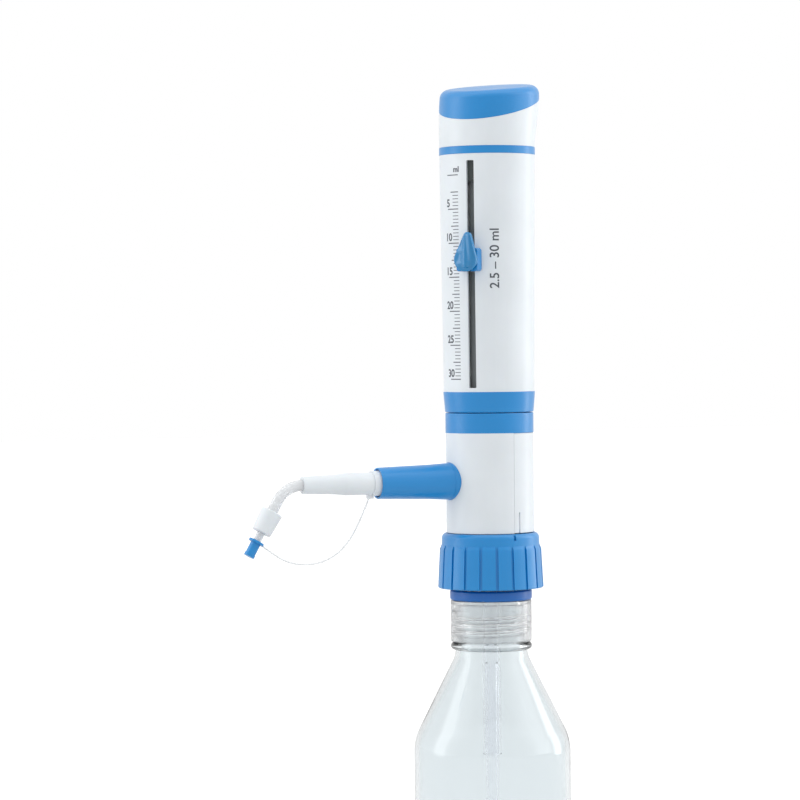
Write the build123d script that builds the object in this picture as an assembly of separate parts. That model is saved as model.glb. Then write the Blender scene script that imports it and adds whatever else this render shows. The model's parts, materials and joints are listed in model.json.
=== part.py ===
from build123d import *
from math import atan2, cos, degrees, pi, radians, sin, tan
import os

# A hand-operated bottle-top dispenser (a piston burette) of 30 ml on a 500 ml glass bottle.
# The origin is the centre of the bottle's base, +Z is up and the nozzle points along -X.

os.makedirs("parts", exist_ok=True)

# ---- driving dimensions, mm and degrees ----
SLOT_DIR = 224  # direction that the volume slot and its scale face, from +X
COVER_EDGE = 82  # the rear cover spans +-this about +X
FIT = 0.05  # running clearance of a shaft in its bore
GAP = 0.3  # clearance between parts that only pass each other

# bottle and adapter
BOTTLE_R = 43.0
BOTTLE_WALL = 2.5
BOTTLE_FOOT_R = 32.0
BOTTLE_HEEL_R = 6.0
BOTTLE_FLOOR_Z = 5.5
PUSH_UP = 2.2
NECK_ROOT_Z = 148.0
NECK_ROOT_R = 19.8
NECK_R = 18.6
NECK_BORE_R = 16.0
LIP_Z = 173.0
SHOULDER_SLOPE = 26.5  # degrees from the vertical
SHOULDER_CONVEX_R = 30.0
SHOULDER_CONCAVE_R = 12.0
BEAD_R = 22.5
BEAD_TOP_Z = 152.4
BOTTLE_PITCH = 3.5
THREAD_Z = 156.8
ADAPTER_R = 22.25
ADAPTER_BORE_R = 20.0
ADAPTER_TOP_Z = 192.0
RING_Z = 175.4
RING_TOP_Z = 181.0
SPIGOT_R = 19.4
SPOUT_R = 15.5
SPIGOT_PITCH = 4.0

# screw collar
COLLAR_Z = 182.0
COLLAR_TOP_Z = 212.2
COLLAR_FOOT_R = 28.05
COLLAR_SHOULDER_R = 26.7  # where the shoulder's rounding starts
COLLAR_SHOULDER_Z = 208.8
COLLAR_TOP_R = 24.8
RIB_TOP_Z = 205.6
RIB_HEIGHT = 0.9
RIBS = 20
GROOVE_WIDTH = 1.5
NOTCH_DIR = 357 - COVER_EDGE
NOTCH_WIDTH = 1.5
NOTCH_HEIGHT = 3.4
CHAMBER_TOP_Z = 197.6

# swivel inside the collar
SWIVEL_R = 16.2
SWIVEL_BORE_R = 14.2
FLANGE_Z = 193.5
FLANGE_TOP_Z = 197.5
SWIVEL_TOP_Z = 218.0
CLIP_Z = 215.4
CLIP_HEIGHT = 1.2

# lower body
BODY_R = 24.15
BODY_WALL = 2.4
SHELL_BORE_R = BODY_R - BODY_WALL
BODY_Z = 212.5
PLATE_TOP_Z = 215.0
BODY_TOP_Z = 267.1
SEAM = 0.15
LATCH_SLIT = 0.9
LATCH_TOP_Z = 223.8
NOZZLE_Z = 240.8
NOZZLE_PORT_R = 7.0
BLOCK_FLANGE_Z = 218.3
BLOCK_FLANGE_TOP_Z = 221.0
SCREW_CIRCLE_R = 20.1
SCREW_DIRS = (0, 120, 240)

# valve block
BLOCK_R = 13.0
CUP_R = 14.2
CUP_FLOOR_Z = 254.0
CUP_TOP_Z = 264.0
CHAMBER_R = 4.2
INLET_SEAT_Z = 194.0
NIPPLE_R = 3.7
NIPPLE_Z = 184.0

# valves: places along the outlet are distances from the pump's axis
INLET_BALL_R = 3.0
INLET_HOLE_R = 2.0
INLET_SEAT_TOP_Z = 198.0
INLET_BALL_Z = INLET_SEAT_TOP_Z + (INLET_BALL_R**2 - INLET_HOLE_R**2) ** 0.5 + FIT
BALL_LIFT = 1.5
OUTLET_R = 5.05
OUTLET_SEAT = 12.0
OUTLET_BALL_R = 2.2
OUTLET_HOLE_R = 1.6
OUTLET_BALL = OUTLET_SEAT + (OUTLET_BALL_R**2 - OUTLET_HOLE_R**2) ** 0.5 + FIT
OUTLET_CHAMBER_R = 3.2
OUTLET_CHAMBER_END = 20.8
OUTLET_END = 23.5

# pump
BARREL_R = 11.2
BARREL_BORE_R = 9.28  # 3.70 mm of travel draws 1 ml
BARREL_Z = 255.5
BARREL_TOP_Z = 404.0
GUARD_R = 19.0
GUARD_TOP_Z = 410.0
PISTON_Z = 257.5
PISTON_TOP_Z = 271.5
ROD_R = 4.0
ROD_TOP_Z = 437.0
SCREW_HEAD_Z = 440.0

# sliding sleeve
LOWER_RING_TOP_Z = 278.0
SLEEVE_RING_Z = 278.35
SLEEVE_SPIGOT_Z = 282.0
SLEEVE_Z = 289.6
SLEEVE_TOP_Z = 418.9
SLEEVE_R = 24.85
SLEEVE_TOP_R = 26.2
SLEEVE_WALL = 2.0
SLEEVE_SPIGOT_STEP = 1.1  # the head's spigot is this much smaller than the sleeve
SPIGOT_TOP_Z = 426.1
DRAFT = degrees(atan2(SLEEVE_TOP_R - SLEEVE_R, SLEEVE_TOP_Z - SLEEVE_Z))
SLOT_WIDTH = 4.3
SLOT_CORNER_R = 0.6
SLOT_Z = 291.8
SLOT_TOP_Z = 415.2
RACK_THICKNESS = 0.9
RACK_GAP = 0.05
RACK_OPENING_TOP_Z = 404.0

# head
ACCENT_TOP_Z = 423.1
CUT_Z = 445.5  # the tilted joint between head and grip, on the axis
CUT_TILT = 18.0
CROWN_Z = 455.9
CROWN_TILT = 8.0
BACK = SLOT_DIR - 180  # the head leans and rises this way
LEAN = 4.2  # sideways shift of the head where it is widest
WIDEST_R = 27.4
HEAD_WALL = 2.4
POST_Z = 428.0

# pointer and its lock, out from the sleeve's face
POINTER_Z = 361.3  # level with the scale's 12.5 ml mark
CARRIAGE_HEIGHT = 12.6
CARRIAGE_WIDTH = 12.0
CARRIAGE_DEPTH = 6.2
TONGUE_HEIGHT = 6.4
STEM_R = 1.1
SHOE_DEPTH = 4.6
KNOB_START = 6.5
KNOB_DEPTH = 4.6
KNOB_R = 6.5
KNOB_TIP_R = 2.1
KNOB_ANGLE = -6.0  # the locked knob's tip stands this far off the upright
KNOB_REACH = 14.9

# nozzle: places along it are distances from the pump's axis
BOOT_MOUTH = 67.4
BOOT_MOUTH_R = 8.5
BOOT_SOCKET_R = 7.5  # the mouth's socket, where the tether's anchor ring sits
BOOT_SOCKET = 63.0
BOOT_ROOT_R = 10.3
ARM_START = 30.0
ARM_END = 111.2
ARM_R = 6.15
ARM_PROFILE = [(86.0, ARM_R), (91.5, 5.5), (97.5, 5.2), (103.4, 5.05), (ARM_END, 4.6)]
TUBE_START = 45.0
TUBE_R = 3.0
TUBE_BORE_R = 1.85
FEED_R = 1.8
BEND_START = 111.3
BEND_R = 16.0
BEND_ANGLE = 60.0

# nozzle end: places are distances past the bend
TUBE_END = 12.0
NUT_R = 6.1
NUT_END_R = 5.3
NUT_START = 6.5
NUT_END = 19.2
TIP_R = 2.15
TIP_BORE_R = 1.2
TIP_START = 13.2
TIP_END = 31.5
FLANGE_R = 4.3
FLANGE_START = 24.3
FLANGE_END = 25.5
CAP_R = 2.75
CAP_END = 33.6

# cap tether
TETHER_D = 1.0
ANCHOR_START = 63.6
ANCHOR_END = 71.0
ANCHOR_R = 6.85
ANCHOR_BORE_R = ARM_R + 0.02
LUG_OUT = 71.6
LUG_Z = 232.6
# the tether's route in the nozzle's upright plane: distance out, height
TETHER_ROUTE = [
    (72.4, LUG_Z),
    (75.6, 225.4),
    (79.4, 217.6),
    (84.6, 209.4),
    (91.4, 203.0),
    (100.2, 198.9),
    (110.4, 198.0),
    (119.4, 199.6),
    (127.2, 203.8),
    (134.0, 208.75),
]


# ---- helpers ----
def lathe(outline):
    """A closed outline of (radius, height) points or edges, turned about Z."""
    if isinstance(outline[0], tuple):
        outline = [Polyline(*[(r, 0, z) for r, z in outline], close=True)]
    edges = [e for part in outline for e in part.edges()]
    return revolve(make_face(edges), Axis.Z)


def ring(inner, outer, low, high):
    """A plain ring or, with no inner radius, a disc."""
    foot = (Align.CENTER, Align.CENTER, Align.MIN)
    body = Pos(0, 0, low) * Cylinder(outer, high - low, align=foot)
    if inner > 0:
        body -= Pos(0, 0, low) * Cylinder(inner, high - low, align=foot)
    return body


def circles(body, radius):
    """The body's round edges of one radius."""
    rims = body.edges().filter_by(GeomType.CIRCLE)
    return rims.filter_by(lambda rim: abs(rim.radius - radius) < 0.01)


def sector(start, stop, reach, low, high):
    """A wedge from one direction to another, counter-clockwise, for cutting rings into shells."""
    steps = 8
    rim = [start + (stop - start) * i / steps for i in range(steps + 1)]
    corners = [(0, 0)] + [(reach * cos(radians(a)), reach * sin(radians(a))) for a in rim]
    face = make_face(Polyline(*corners, close=True).edges())
    return Pos(0, 0, low) * extrude(face, high - low)


def toward(direction, radius, height):
    """A frame at a place off the axis whose +X points outwards, along the direction."""
    return Pos(0, 0, height) * Rot(0, 0, direction) * Pos(radius, 0, 0)


def block(x, y, z, length, width, height):
    """A box that grows outwards from x and is centred on y and z."""
    return Pos(x, y, z) * Box(length, width, height, align=(Align.MIN, Align.CENTER, Align.CENTER))


def along(start, stop, radius, end_radius=None):
    """A rod or cone along the nozzle's direction, from one distance to another."""
    if end_radius is None:
        end_radius = radius
    return nozzle_lathe([(0, start), (radius, start), (end_radius, stop), (0, stop)])


def nozzle_lathe(outline):
    """A closed outline of (radius, distance) points, turned about the nozzle's axis."""
    return Pos(0, 0, NOZZLE_Z) * Rot(0, -90, 0) * lathe(outline)


def sleeve_radius(height):
    return SLEEVE_R + (height - SLEEVE_Z) * tan(radians(DRAFT))


def save(name, shape):
    solids = shape.solids()
    out = solids[0] if len(solids) == 1 else Compound(children=list(solids))
    out.label = name
    export_step(out, f"parts/{name}.step")


# ---- bottle ----
def bottle():
    slope = radians(SHOULDER_SLOPE)
    convex, concave = SHOULDER_CONVEX_R, SHOULDER_CONCAVE_R
    straight = (BOTTLE_R - NECK_ROOT_R - (convex + concave) * (1 - cos(slope))) / sin(slope)
    wall_top = NECK_ROOT_Z - (convex + concave) * sin(slope) - straight * cos(slope)

    def arc(centre_r, centre_z, radius, start, stop):
        mid = (start + stop) / 2
        points = [
            (centre_r + radius * cos(radians(a)), 0, centre_z + radius * sin(radians(a)))
            for a in (start, mid, stop)
        ]
        return ThreePointArc(*points)

    def shoulder(inset):
        lower = arc(BOTTLE_R - convex, wall_top, convex - inset, 0, SHOULDER_SLOPE)
        upper = arc(NECK_ROOT_R + concave, NECK_ROOT_Z, concave + inset, 180 + SHOULDER_SLOPE, 180)
        return [lower, Line(lower @ 1, upper @ 0), upper]

    foot_r, heel, floor_z = BOTTLE_FOOT_R, BOTTLE_HEEL_R, BOTTLE_FLOOR_Z
    outer = shoulder(0)
    inner = shoulder(BOTTLE_WALL)
    heel_arc = arc(BOTTLE_R - heel, heel, heel, -90, 0)
    bore_heel = arc(BOTTLE_R - heel - BOTTLE_WALL, floor_z + heel, heel, -90, 0)
    bead = ThreePointArc(
        (NECK_ROOT_R, 0, NECK_ROOT_Z),
        (BEAD_R, 0, (NECK_ROOT_Z + BEAD_TOP_Z) / 2),
        (NECK_ROOT_R, 0, BEAD_TOP_Z),
    )
    lip_mid = (NECK_R + NECK_BORE_R) / 2
    lip = ThreePointArc(
        (NECK_R, 0, LIP_Z - 1.2),
        (NECK_R - 0.35, 0, LIP_Z - 0.35),
        (NECK_R - 1.2, 0, LIP_Z),
    )
    push_up = ThreePointArc((0, 0, PUSH_UP), (foot_r / 2, 0, 0.75 * PUSH_UP), (foot_r, 0, 0))
    outline = [
        push_up,
        Line((foot_r, 0, 0), heel_arc @ 0),
        heel_arc,
        Line(heel_arc @ 1, outer[0] @ 0),
        *outer,
        bead,
        Line((NECK_ROOT_R, 0, BEAD_TOP_Z), (NECK_R, 0, BEAD_TOP_Z)),
        Line((NECK_R, 0, BEAD_TOP_Z), lip @ 0),
        lip,
        Line(lip @ 1, (lip_mid - 0.6, 0, LIP_Z)),
        Line((lip_mid - 0.6, 0, LIP_Z), (NECK_BORE_R, 0, LIP_Z - 1.0)),
        Line((NECK_BORE_R, 0, LIP_Z - 1.0), (NECK_BORE_R, 0, BEAD_TOP_Z)),
        Line((NECK_BORE_R, 0, BEAD_TOP_Z), inner[2] @ 1),
        *inner,
        Line(inner[0] @ 0, bore_heel @ 1),
        bore_heel,
        Line(bore_heel @ 0, (0, 0, floor_z)),
        Line((0, 0, floor_z), (0, 0, PUSH_UP)),
    ]
    glass = lathe(outline)
    for turn in range(4):
        glass += Pos(0, 0, THREAD_Z + turn * BOTTLE_PITCH) * Torus(NECK_R + 0.1, 0.95)
    return glass


def bottle_adapter():
    bore_r, spout_r = ADAPTER_BORE_R, SPOUT_R
    body = lathe(
        [
            (bore_r, BEAD_TOP_Z + 0.2),
            (ADAPTER_R - 0.5, BEAD_TOP_Z + 0.2),
            (ADAPTER_R, BEAD_TOP_Z + 0.7),
            (ADAPTER_R, RING_Z - 0.5),
            (ADAPTER_R - 0.5, RING_Z),
            (SPIGOT_R, RING_Z),
            (SPIGOT_R, ADAPTER_TOP_Z - 0.6),
            (SPIGOT_R - 0.6, ADAPTER_TOP_Z),
            (spout_r, ADAPTER_TOP_Z),
            (spout_r, LIP_Z),
            (bore_r, LIP_Z),
        ]
    )
    for turn in range(3):
        body += Pos(0, 0, THREAD_Z + (turn + 0.5) * BOTTLE_PITCH) * Torus(bore_r, 0.9)
    for turn in range(2):
        body += Pos(0, 0, RING_TOP_Z + 2.6 + turn * SPIGOT_PITCH) * Torus(SPIGOT_R, 0.8)
    return body


def adapter_ring():
    body = ring(SPIGOT_R + 1.1, BEAD_R, RING_Z, RING_TOP_Z)
    return fillet(circles(body, BEAD_R), 1.2)


# ---- screw collar and swivel ----


def collar_radius(height):
    """The collar's plain face between its foot and its shoulder."""
    rise = (height - COLLAR_Z) / (COLLAR_SHOULDER_Z - COLLAR_Z)
    return COLLAR_FOOT_R + (COLLAR_SHOULDER_R - COLLAR_FOOT_R) * rise


def screw_collar():
    chamber_r, thread_sleeve_r = SPIGOT_R + 1.2, SPIGOT_R + 3.6
    bore_r = SWIVEL_R + FIT
    skirt_wall = 2.0
    skirt_low_r = COLLAR_FOOT_R - skirt_wall
    skirt_top_z = RIB_TOP_Z - 3.2
    skirt_top_r = collar_radius(skirt_top_z) - skirt_wall - 0.4
    shoulder = ThreePointArc(
        (COLLAR_SHOULDER_R, 0, COLLAR_SHOULDER_Z),
        (COLLAR_SHOULDER_R - 0.6, 0, COLLAR_TOP_Z - 1.0),
        (COLLAR_TOP_R, 0, COLLAR_TOP_Z),
    )
    body = lathe(
        [
            Line((chamber_r, 0, COLLAR_Z), (thread_sleeve_r, 0, COLLAR_Z)),
            Line((thread_sleeve_r, 0, COLLAR_Z), (thread_sleeve_r, 0, skirt_top_z)),
            Line((thread_sleeve_r, 0, skirt_top_z), (skirt_top_r, 0, skirt_top_z)),
            Line((skirt_top_r, 0, skirt_top_z), (skirt_low_r, 0, COLLAR_Z)),
            Line((skirt_low_r, 0, COLLAR_Z), (COLLAR_FOOT_R, 0, COLLAR_Z)),
            Line((COLLAR_FOOT_R, 0, COLLAR_Z), shoulder @ 0),
            shoulder,
            Line(shoulder @ 1, (bore_r, 0, COLLAR_TOP_Z)),
            Line((bore_r, 0, COLLAR_TOP_Z), (bore_r, 0, CHAMBER_TOP_Z)),
            Line((bore_r, 0, CHAMBER_TOP_Z), (chamber_r, 0, CHAMBER_TOP_Z)),
            Line((chamber_r, 0, CHAMBER_TOP_Z), (chamber_r, 0, COLLAR_Z)),
        ]
    )
    fade_z = RIB_TOP_Z - 2.2
    rib_land = lathe(
        [
            (COLLAR_SHOULDER_R - 1.0, COLLAR_Z),
            (COLLAR_FOOT_R + RIB_HEIGHT - 0.5, COLLAR_Z),
            (COLLAR_FOOT_R + RIB_HEIGHT, COLLAR_Z + 0.6),
            (collar_radius(fade_z) + RIB_HEIGHT, fade_z),
            (collar_radius(RIB_TOP_Z) + 0.1, RIB_TOP_Z),
            (COLLAR_SHOULDER_R - 1.0, RIB_TOP_Z),
        ]
    )
    groove = block(COLLAR_SHOULDER_R - 1.5, 0, COLLAR_Z, 8, GROOVE_WIDTH, 2 * (COLLAR_TOP_Z - COLLAR_Z))
    grooves = [Rot(0, 0, i * 360 / RIBS) * groove for i in range(RIBS)]
    body += rib_land - grooves
    notch = block(0, 0, 0, 4, NOTCH_WIDTH, 2 * NOTCH_HEIGHT)
    return body - toward(NOTCH_DIR, COLLAR_TOP_R + 0.6, COLLAR_TOP_Z) * notch


def swivel_flange():
    body = ring(SWIVEL_BORE_R, SPIGOT_R + 0.2, FLANGE_Z, FLANGE_TOP_Z)
    body += ring(SWIVEL_BORE_R, SWIVEL_R, FLANGE_TOP_Z, SWIVEL_TOP_Z)
    return body - ring(SWIVEL_R - 0.6, SWIVEL_R + 1, CLIP_Z, CLIP_Z + CLIP_HEIGHT)


def swivel_clip():
    body = ring(SWIVEL_R - 0.55, SWIVEL_R + 2.1, CLIP_Z + 0.1, CLIP_Z + CLIP_HEIGHT - 0.1)
    mouth = block(0, 0, CLIP_Z, 30, 10, 4)
    return body - mouth


# ---- lower body ----


def screw_places():
    return [toward(a, SCREW_CIRCLE_R, 0) for a in SCREW_DIRS]


def lower_housing():
    reach = BODY_R + 10
    rear = sector(-COVER_EDGE, COVER_EDGE, reach, BODY_Z - 1, BODY_TOP_Z + 1)
    body = ring(SHELL_BORE_R, BODY_R, BODY_Z, BODY_TOP_Z) - rear
    plate = ring(SWIVEL_R + FIT, BODY_R, BODY_Z, PLATE_TOP_Z)
    cover_path = ring(SHELL_BORE_R - SEAM, reach, BODY_Z - 1, PLATE_TOP_Z + 1)
    body += plate - (cover_path & rear)
    edge_pad, pad_top_z = 1.2, BODY_TOP_Z - 6
    for side in (-1, 1):
        # a rebate behind each seam, that the rear cover's edge rests on
        rebate = ring(SHELL_BORE_R - edge_pad, SHELL_BORE_R, PLATE_TOP_Z, pad_top_z)
        a, b = sorted((side * (COVER_EDGE + 6), side * (COVER_EDGE - 4)))
        body += rebate & sector(a, b, reach, PLATE_TOP_Z, BODY_TOP_Z)
    for place in screw_places():
        body += place * ring(0, 1.6, PLATE_TOP_Z, BLOCK_FLANGE_Z)
        body -= place * ring(0, 0.9, PLATE_TOP_Z - 1.5, BLOCK_FLANGE_Z + 1)
    return body - along(15, 30, NOZZLE_PORT_R)


def rear_cover():
    body = ring(SHELL_BORE_R + 0.03, BODY_R, BODY_Z + SEAM, BODY_TOP_Z - SEAM)
    edge = COVER_EDGE - degrees(SEAM / BODY_R)
    body &= sector(-edge, edge, BODY_R + 10, BODY_Z, BODY_TOP_Z)
    # the slit beside the front seam that frees its latch, and three grip ribs at the back
    slit = block(0, 0, 0, 3, LATCH_SLIT, 2 * (LATCH_TOP_Z - BODY_Z))
    body -= toward(-COVER_EDGE + 8.4, BODY_R - 1.0, BODY_Z) * slit
    rib = block(0, 0, 0, 0.9, 7, 1.2)
    for i in (-1, 0, 1):
        body += toward(0, BODY_R - 0.3, 254 + i * 3) * rib
    return body


def valve_block():
    stem_z, shoulder_z = 192, 206
    body = ring(0, NIPPLE_R, NIPPLE_Z, stem_z)
    body += ring(0, 8.0, stem_z, shoulder_z)
    body += ring(0, SWIVEL_BORE_R - FIT, shoulder_z, BLOCK_FLANGE_Z)
    body += ring(0, SHELL_BORE_R - 1.3, BLOCK_FLANGE_Z, BLOCK_FLANGE_TOP_Z)
    body += ring(0, BLOCK_R, BLOCK_FLANGE_TOP_Z, CUP_FLOOR_Z)
    body += ring(0, CUP_R, CUP_FLOOR_Z - 4, CUP_TOP_Z)
    body += along(10, 20.5, NOZZLE_PORT_R)
    body -= ring(0, BARREL_R + 0.1, CUP_FLOOR_Z, CUP_TOP_Z + 1)
    body -= ring(0, CHAMBER_R, INLET_SEAT_Z, CUP_FLOOR_Z + 1)
    body -= ring(0, 2.4, NIPPLE_Z - 1, INLET_SEAT_Z + 1)
    body -= along(9, 21, OUTLET_R)
    body -= along(0, 10, 2.0)
    for place in screw_places():
        body -= place * ring(0, 1.05, BLOCK_FLANGE_Z - 1, BLOCK_FLANGE_TOP_Z + 1)
    return body


def block_screws():
    screws = []
    for place in screw_places():
        shank = place * ring(0, 0.85, PLATE_TOP_Z - 1.4, BLOCK_FLANGE_TOP_Z)
        head = place * ring(0, 1.5, BLOCK_FLANGE_TOP_Z, BLOCK_FLANGE_TOP_Z + 1.3)
        screws.append(shank + head - place * block(-2, 0, BLOCK_FLANGE_TOP_Z + 1.3, 4, 0.5, 1.2))
    return Compound(children=[s.solid() for s in screws])


# ---- valves ----


def inlet_valve_seat():
    return ring(INLET_HOLE_R, CHAMBER_R - FIT, INLET_SEAT_Z, INLET_SEAT_TOP_Z)


def inlet_ball():
    return Pos(0, 0, INLET_BALL_Z) * Sphere(INLET_BALL_R)


def inlet_ball_stop():
    stop_r = 2.4
    low = INLET_BALL_Z + BALL_LIFT + (INLET_BALL_R**2 - stop_r**2) ** 0.5 + 0.1
    return ring(stop_r, CHAMBER_R - FIT, low, low + 1.5)


def outlet_valve_body():
    body = along(9.2, OUTLET_END, OUTLET_R - FIT)
    body -= along(9, OUTLET_SEAT + 1, OUTLET_HOLE_R)
    body -= along(OUTLET_SEAT, OUTLET_CHAMBER_END, OUTLET_CHAMBER_R)
    return body - along(OUTLET_CHAMBER_END - 1, OUTLET_END + 1, FEED_R + FIT)


def outlet_ball():
    return Pos(-OUTLET_BALL, 0, NOZZLE_Z) * Sphere(OUTLET_BALL_R)


def outlet_spring():
    wire_r, coil_r = 0.22, 1.5
    start = OUTLET_BALL + OUTLET_BALL_R * 0.72 + 2 * wire_r
    length = OUTLET_CHAMBER_END - wire_r - 0.1 - start
    coil = Helix(pitch=length / 4, height=length, radius=coil_r)
    profile = Plane(coil @ 0, z_dir=coil % 0) * Circle(wire_r)
    spring = sweep(profile, coil, is_frenet=True)
    return Pos(-start, 0, NOZZLE_Z) * Rot(0, -90, 0) * spring


# ---- pump ----
def barrel_seal():
    return ring(BARREL_BORE_R - 2.5, BARREL_R + 0.05, CUP_FLOOR_Z, BARREL_Z)


def glass_barrel():
    return ring(BARREL_BORE_R, BARREL_R, BARREL_Z, BARREL_TOP_Z)


def piston_head():
    body = ring(0, BARREL_BORE_R - 0.35, PISTON_Z, PISTON_TOP_Z)
    for z in (PISTON_Z + 2, PISTON_TOP_Z - 4):
        body -= ring(BARREL_BORE_R - 1.6, BARREL_BORE_R + 1, z, z + 2)
    return body - ring(0, ROD_R - 1.5, PISTON_TOP_Z - 6, PISTON_TOP_Z + 1)


def piston_seals():
    seals = [
        ring(BARREL_BORE_R - 1.55, BARREL_BORE_R - FIT, z + 0.1, z + 1.9)
        for z in (PISTON_Z + 2, PISTON_TOP_Z - 4)
    ]
    return Compound(children=[s.solid() for s in seals])


def piston_rod():
    body = ring(0, ROD_R, PISTON_TOP_Z, ROD_TOP_Z)
    body += ring(0, ROD_R - 1.55, PISTON_TOP_Z - 5.5, PISTON_TOP_Z)
    return body - ring(0, 2.0, ROD_TOP_Z - 11, ROD_TOP_Z + 1)


def guard_tube():
    return ring(GUARD_R - 1.5, GUARD_R, BODY_TOP_Z + 3, GUARD_TOP_Z)


def stop_rail():
    """The black rail on the guard tube, under the slot."""
    half = degrees(3.0 / GUARD_R)
    low, high = SLEEVE_SPIGOT_Z + 1, GUARD_TOP_Z - 4
    body = ring(GUARD_R, GUARD_R + 0.6, low, high)
    return body & sector(SLOT_DIR - half, SLOT_DIR + half, 2 * GUARD_R, low - 1, high + 1)


def lower_ring():
    web_z = BODY_TOP_Z + 3
    body = ring(CUP_R + 0.2, BODY_R, BODY_TOP_Z, web_z)
    body += ring(GUARD_R + FIT, BODY_R, web_z, LOWER_RING_TOP_Z)
    body += ring(SHELL_BORE_R - 1.8, SHELL_BORE_R - 0.1, BODY_TOP_Z - 3.5, BODY_TOP_Z)
    body += ring(BARREL_R + 0.1, CUP_R + 1, web_z - 1.6, web_z)
    return fillet(circles(body, BODY_R).sort_by(Axis.Z)[-1], 0.5)


# ---- sliding sleeve ----


def slot_cut(width, low, high, inner, outer):
    """A slot through the sleeve's wall, facing SLOT_DIR."""
    slot = extrude(RectangleRounded(width, high - low, SLOT_CORNER_R), outer - inner)
    return toward(SLOT_DIR, inner, (low + high) / 2) * Plane.YZ.location * slot


def outer_sleeve():
    bore_low = sleeve_radius(SLEEVE_SPIGOT_Z) - SLEEVE_WALL
    bore_high = sleeve_radius(SLEEVE_TOP_Z) - SLEEVE_WALL
    spigot_r = SLEEVE_TOP_R - SLEEVE_SPIGOT_STEP
    body = lathe(
        [
            (bore_low, SLEEVE_SPIGOT_Z),
            (SLEEVE_R - 0.9, SLEEVE_SPIGOT_Z),
            (SLEEVE_R - 0.9, SLEEVE_Z),
            (SLEEVE_R, SLEEVE_Z),
            (SLEEVE_TOP_R, SLEEVE_TOP_Z),
            (spigot_r, SLEEVE_TOP_Z),
            (spigot_r, SPIGOT_TOP_Z),
            (bore_high - 1.2, SPIGOT_TOP_Z),
            (bore_high - 1.2, SLEEVE_TOP_Z),
            (bore_high, SLEEVE_TOP_Z - 1.2),
        ]
    )
    return body - slot_cut(SLOT_WIDTH, SLOT_Z, SLOT_TOP_Z, 15, 40)


def sleeve_ring():
    bore_r, lip_r, face_r = SLEEVE_R - 0.85, SLEEVE_R - 2.0, SLEEVE_R + 0.25
    return lathe(
        [
            (bore_r, SLEEVE_RING_Z + 1.6),
            (lip_r, SLEEVE_RING_Z + 1.6),
            (lip_r, SLEEVE_RING_Z),
            (BODY_R - 0.3, SLEEVE_RING_Z),
            (BODY_R + 0.1, SLEEVE_RING_Z + 0.4),
            (face_r, SLEEVE_Z - 1.0),
            (face_r, SLEEVE_Z),
            (bore_r, SLEEVE_Z),
        ]
    )


def guide_bush():
    """Runs on the guard tube and straddles the stop rail."""
    bore_low = sleeve_radius(SLEEVE_SPIGOT_Z) - SLEEVE_WALL
    body = ring(GUARD_R + FIT, bore_low - FIT, SLEEVE_RING_Z + 0.4, SLEEVE_RING_Z + 9)
    return body - toward(SLOT_DIR, 15, SLEEVE_RING_Z + 5) * block(0, 0, 0, 15, 9, 12)


def slot_rack():
    """The black strip behind the slot that the lock shoe grips."""
    low, high = SLOT_Z - 2.0, SLOT_TOP_Z + 2.0
    half = 12.0

    def skin(height, depth):
        return sleeve_radius(height) - SLEEVE_WALL - RACK_GAP - depth

    body = lathe(
        [
            (skin(low, RACK_THICKNESS), low),
            (skin(low, 0), low),
            (skin(high, 0), high),
            (skin(high, RACK_THICKNESS), high),
        ]
    )
    body &= sector(SLOT_DIR - half, SLOT_DIR + half, 40, low - 1, high + 1)
    return body - slot_cut(SLOT_WIDTH, SLOT_Z, RACK_OPENING_TOP_Z, 15, 40)


def accent_ring():
    outer = SLEEVE_TOP_R + 0.1
    body = ring(SLEEVE_TOP_R - SLEEVE_SPIGOT_STEP + FIT, outer, SLEEVE_TOP_Z, ACCENT_TOP_Z)
    return fillet(circles(body, outer), 0.3)


# ---- head ----


def leaning(height):
    """A plane across the axis that rises towards the back."""
    return Pos(0, 0, height) * Rot(0, 0, BACK)


def envelope(inset):
    """The outer form of head and grip together, or its inside at a wall's depth."""
    rings = [
        (ACCENT_TOP_Z, 0, SLEEVE_TOP_R),
        (ACCENT_TOP_Z + 13.0, 0.42 * LEAN, 26.9),
        (ACCENT_TOP_Z + 26.0, LEAN, WIDEST_R),
        (ACCENT_TOP_Z + 42.0, LEAN, 25.0),
    ]
    faces = []
    for height, shift, radius in rings:
        face = (leaning(height) * Pos(shift, 0, 0) * Circle(radius - inset)).face()
        faces.append(face)
    return loft(faces)


def below(height, tilt):
    """Everything under a plane through the axis at a height, tilted up towards the back."""
    size = 120
    cutter = Box(size, size, size, align=(Align.CENTER, Align.CENTER, Align.MAX))
    return leaning(height) * Rot(0, -tilt, 0) * cutter


def head_body():
    shell = envelope(0) & below(CUT_Z, CUT_TILT)
    hollow = envelope(HEAD_WALL) & below(CUT_Z - 3.2, CUT_TILT)
    body = shell - hollow
    body += ring(0, 8.0, POST_Z, CUT_Z) & below(CUT_Z - 1, CUT_TILT)
    spigot_bore = ring(20, SLEEVE_TOP_R - SLEEVE_SPIGOT_STEP + FIT, ACCENT_TOP_Z - 1, SPIGOT_TOP_Z + 0.1)
    body -= spigot_bore
    body -= ring(0, ROD_R + FIT, POST_Z - 5, ROD_TOP_Z)
    body -= ring(0, 2.1, POST_Z, SCREW_HEAD_Z + 1)
    return body - ring(0, 4.0, SCREW_HEAD_Z, CUT_Z + 5)


def head_grip():
    body = envelope(0) & below(CROWN_Z, CROWN_TILT)
    crown_rim = body.edges().sort_by(Axis.Z)[-1]
    body = fillet(crown_rim, 5.0)
    body -= below(CUT_Z + 0.02, CUT_TILT)
    hollow = envelope(3.0) & below(CROWN_Z - 2.6, CROWN_TILT)
    return body - (hollow - below(CUT_Z - 0.5, CUT_TILT))


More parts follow.
